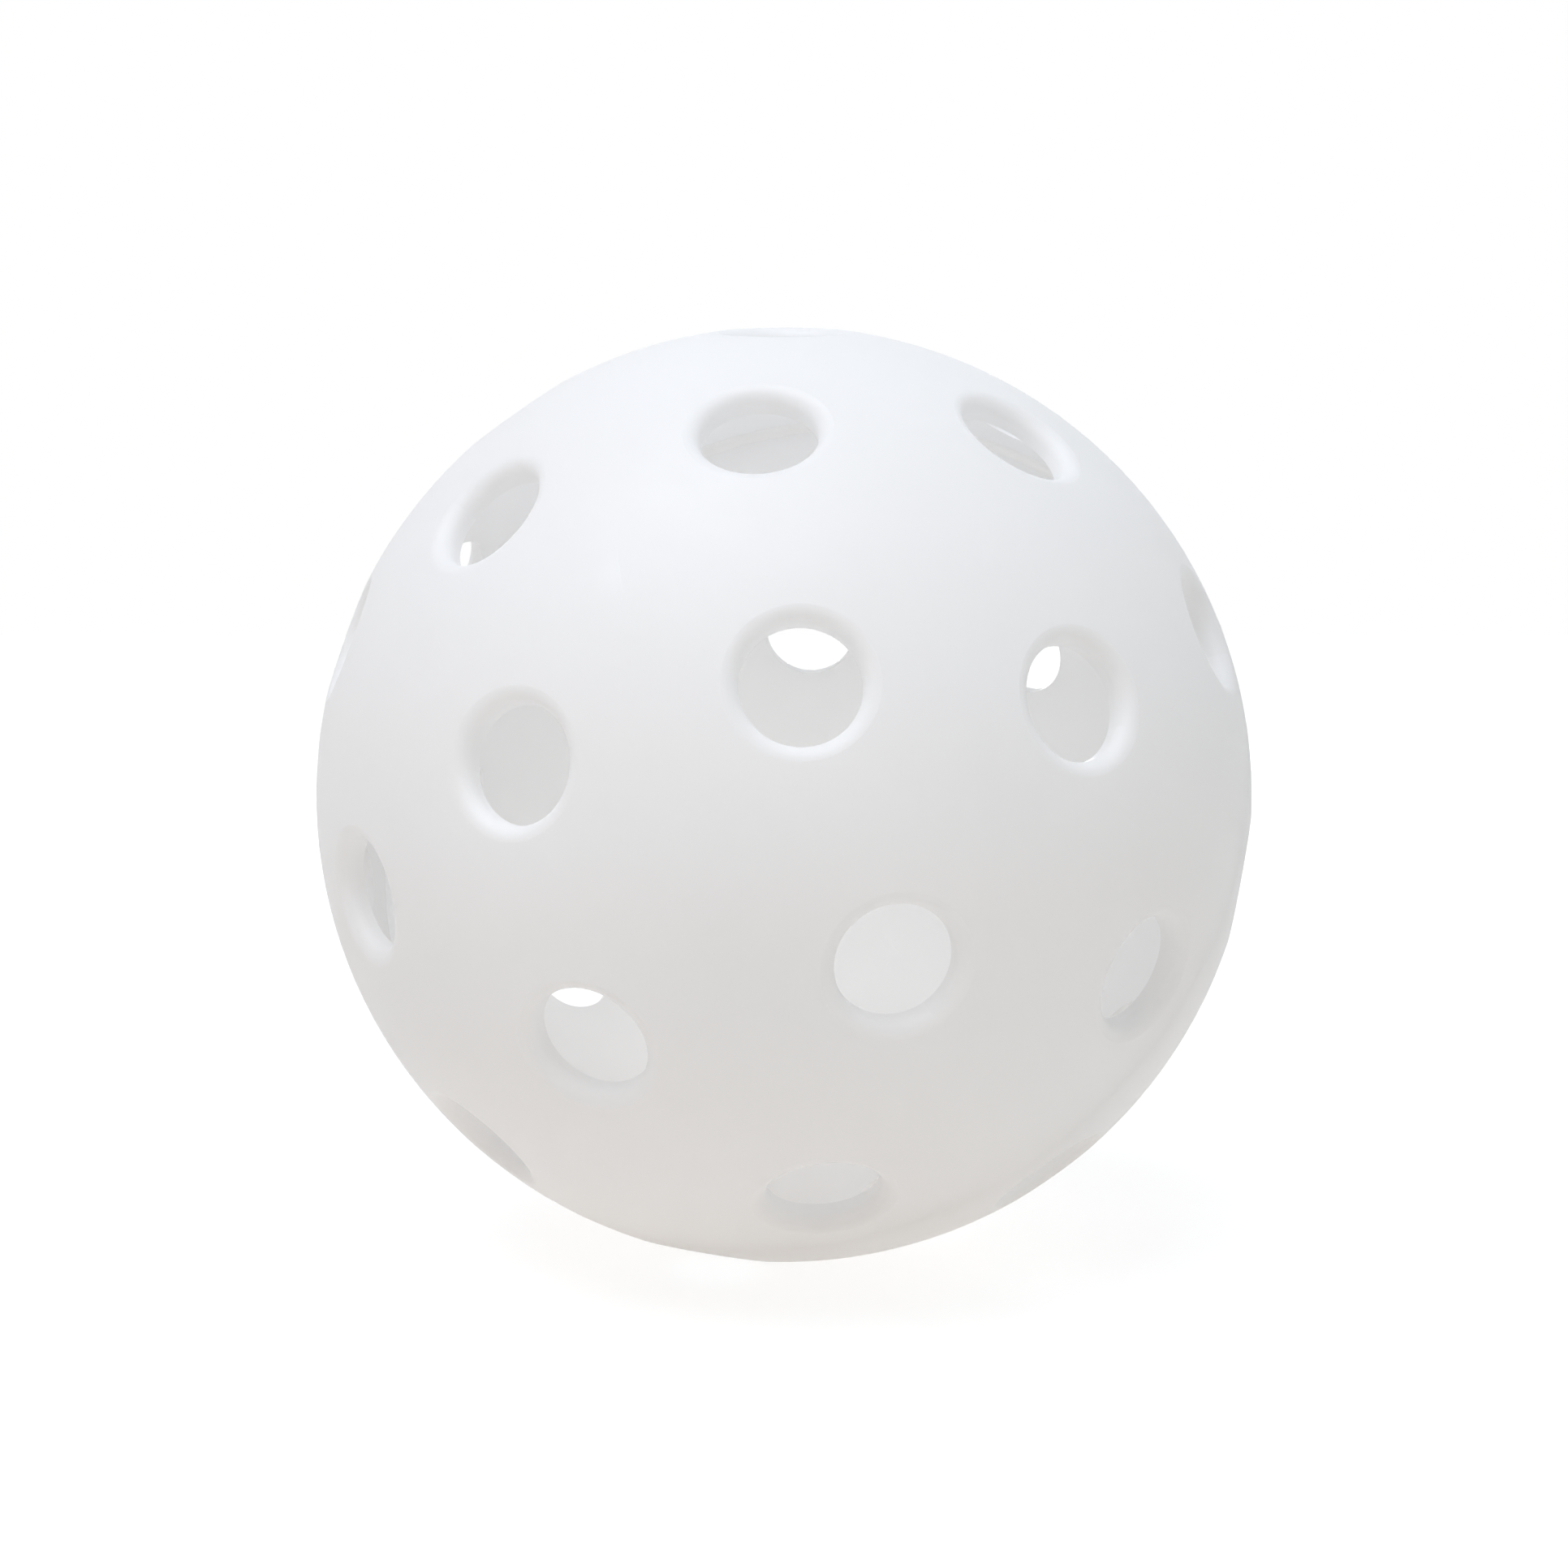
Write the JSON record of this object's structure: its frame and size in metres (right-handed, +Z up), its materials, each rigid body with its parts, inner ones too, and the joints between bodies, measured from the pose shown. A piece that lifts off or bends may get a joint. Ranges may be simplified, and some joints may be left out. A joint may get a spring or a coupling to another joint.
{
  "type": "perforated plastic ball",
  "caption": "Hollow white plastic ball with staggered rings of round air holes, moulded as two half shells and welded at a tongue and groove seam; for paddle games.",
  "frame": {"origin": "centre of the ball", "axes": "+Z is up as the ball lies in the picture, and -Y points to the viewer; the moulding axis of the two halves leans 62 degrees from +Z, towards -Y and a little to -X"},
  "size_m": [0.074, 0.074, 0.074],
  "materials": {
    "shell": "satin",
    "weld": "satin"
  },
  "bodies": {
    "root": {"front_half": "shell", "rear_half": "shell", "seam_weld": "weld"}
  },
  "joints": []
}
